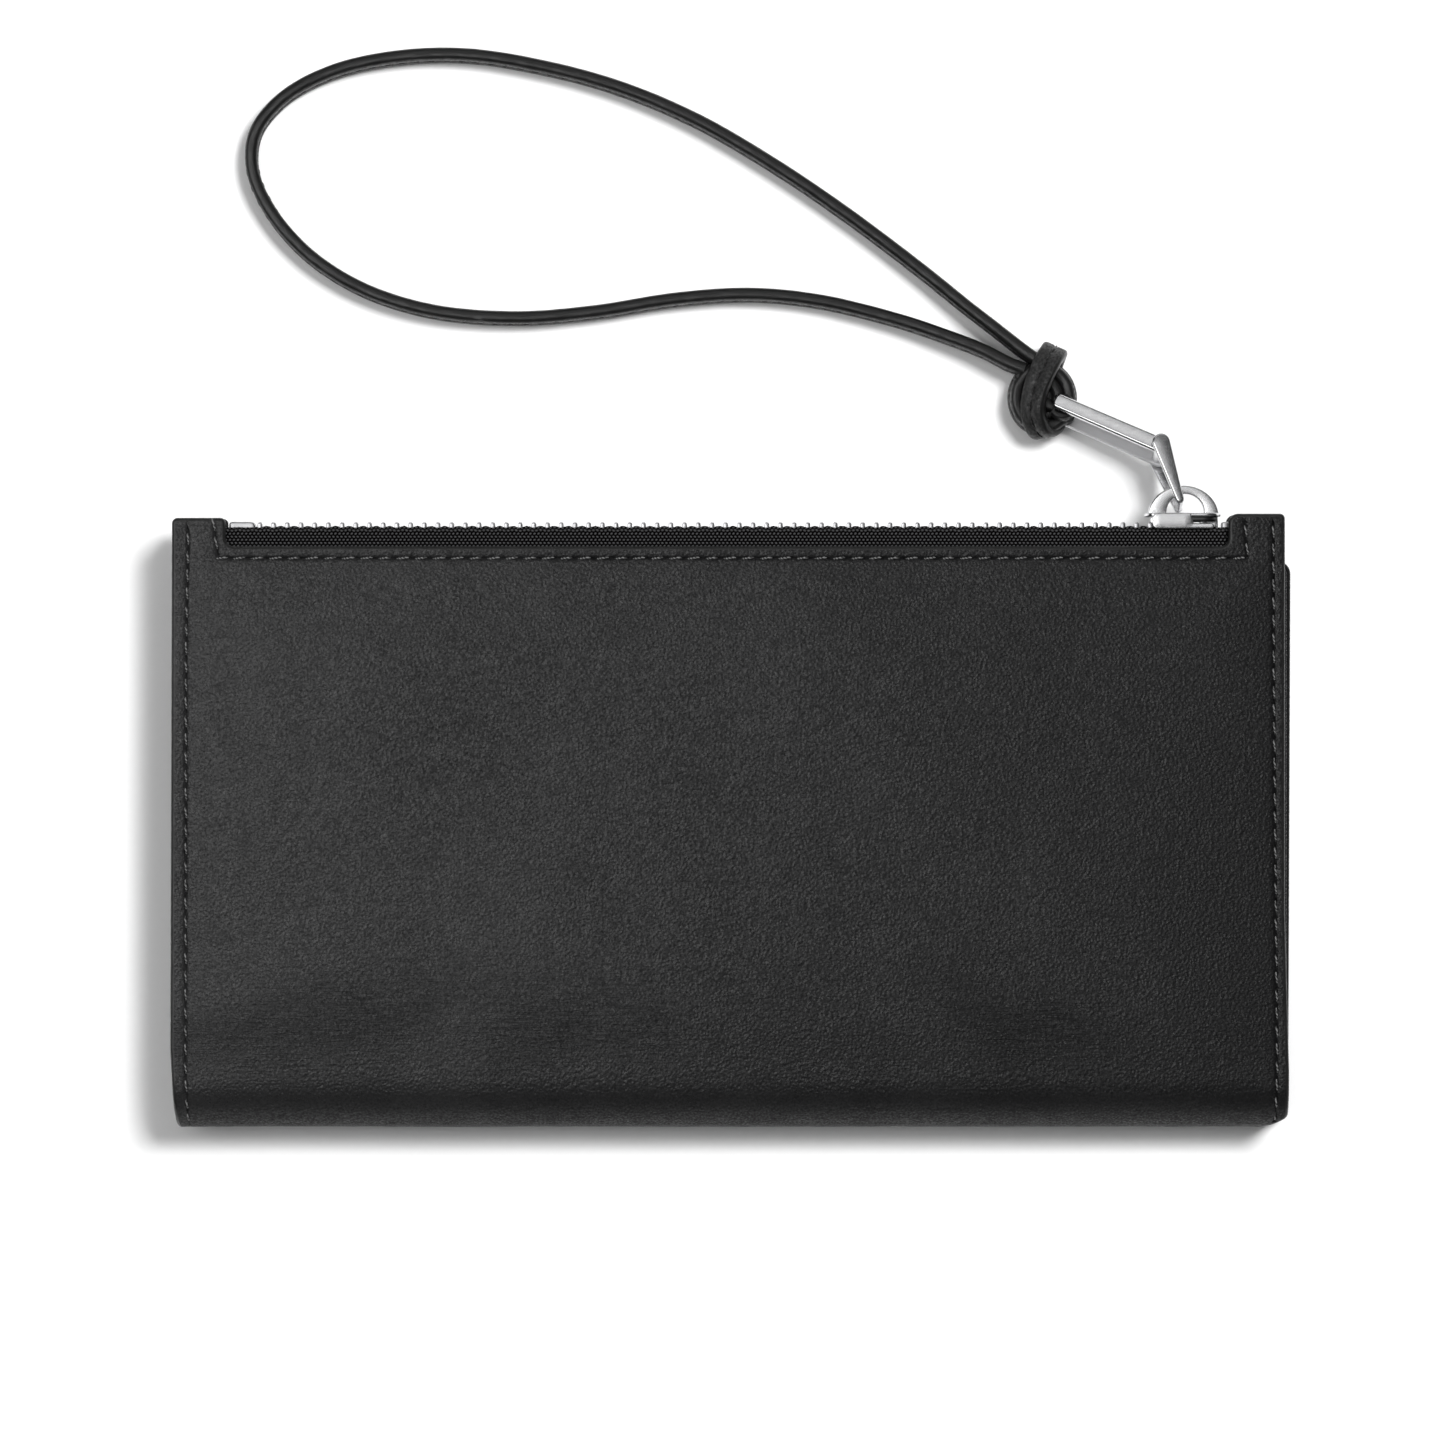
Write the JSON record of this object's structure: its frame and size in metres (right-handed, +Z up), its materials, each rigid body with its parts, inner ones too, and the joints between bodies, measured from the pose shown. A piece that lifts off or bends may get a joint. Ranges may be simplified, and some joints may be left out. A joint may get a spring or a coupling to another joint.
{
  "type": "wristlet wallet",
  "caption": "Black leather foldover wallet with a zip pocket in its front half, card slots inside and a wrist strap knotted to the zip slider's metal link.",
  "frame": {"origin": "below the middle of the wallet's box with its link and knot, on the surface it lies on, without the free strap loop", "axes": "+X along the fold towards the closed end of the zip, +Y from the fold to the zip, +Z up out of the front leather"},
  "size_m": [0.199, 0.1925, 0.0166],
  "materials": {
    "outer_leather": "matte full-grain leather, fine pebble, black painted edges",
    "slot_leather": "thin smooth leather",
    "lining_cloth": "fine twill lining",
    "zip_tape_cloth": "woven zip tape",
    "nickel_plate": "polished nickel plate",
    "strap_leather": "two thin leathers stitched back to back, waxed edges"
  },
  "bodies": {
    "rear_half": {"rear_cover_leather": "outer_leather", "rear_lining": "lining_cloth", "rear_card_slot_left_1": "slot_leather", "rear_card_slot_left_2": "slot_leather", "rear_card_slot_left_3": "slot_leather", "rear_card_slot_right_1": "slot_leather", "rear_card_slot_right_2": "slot_leather", "rear_card_slot_right_3": "slot_leather"},
    "fold": {"fold_leather": "outer_leather", "fold_lining": "lining_cloth"},
    "front_half": {"front_leather_panel": "outer_leather", "pocket_divider": "slot_leather", "pocket_lining_bag": "lining_cloth", "pocket_gusset_left": "outer_leather", "pocket_gusset_right": "outer_leather", "zip_tape_front": "zip_tape_cloth", "zip_tape_rear": "zip_tape_cloth", "zip_teeth_front": "nickel_plate", "zip_teeth_rear": "nickel_plate", "zip_bottom_stop": "nickel_plate", "zip_top_stop_front": "nickel_plate", "zip_top_stop_rear": "nickel_plate", "front_card_slot_left_1": "slot_leather", "front_card_slot_left_2": "slot_leather", "front_card_slot_left_3": "slot_leather", "front_card_slot_right_1": "slot_leather", "front_card_slot_right_2": "slot_leather", "front_card_slot_right_3": "slot_leather"},
    "slider": {"zip_slider": "nickel_plate"},
    "shackle": {"link_shackle": "nickel_plate", "link_pin": "nickel_plate"},
    "ring": {"link_ring": "nickel_plate"},
    "strap": {"strap_knot": "strap_leather", "strap_loop": "strap_leather"}
  },
  "joints": [
    {"name": "fold_lower", "type": "hinge", "parent": "rear_half", "child": "fold", "pos_m": [0, -0.06767, 0.00233], "axis": [1, 0, 0], "range_deg": [0, 90]},
    {"name": "fold_upper", "type": "hinge", "parent": "fold", "child": "front_half", "pos_m": [0, -0.06767, 0.01427], "axis": [1, 0, 0], "range_deg": [0, 90]},
    {"name": "zip_slide", "type": "slide", "parent": "front_half", "child": "slider", "axis": [-1, 0, 0], "range_m": [0, 0.1575]},
    {"name": "link_swing", "type": "hinge", "parent": "slider", "child": "shackle", "pos_m": [0.0788, 0.0408, 0.01215], "axis": [0, 0.342, 0.9397], "range_deg": [-45, 5]},
    {"name": "ring_swing", "type": "hinge", "parent": "shackle", "child": "ring", "pos_m": [0.0756, 0.05015, 0.00875], "axis": [0, 0.342, 0.9397], "range_deg": [-70, 5]},
    {"name": "strap_swing", "type": "hinge", "parent": "ring", "child": "strap", "pos_m": [0.0583, 0.05781, 0.00596], "axis": [0, 0.342, 0.9397], "range_deg": [-30, 8]}
  ],
  "couplings": [
    {"joint": "fold_upper", "follows": "fold_lower", "ratio": 1}
  ]
}
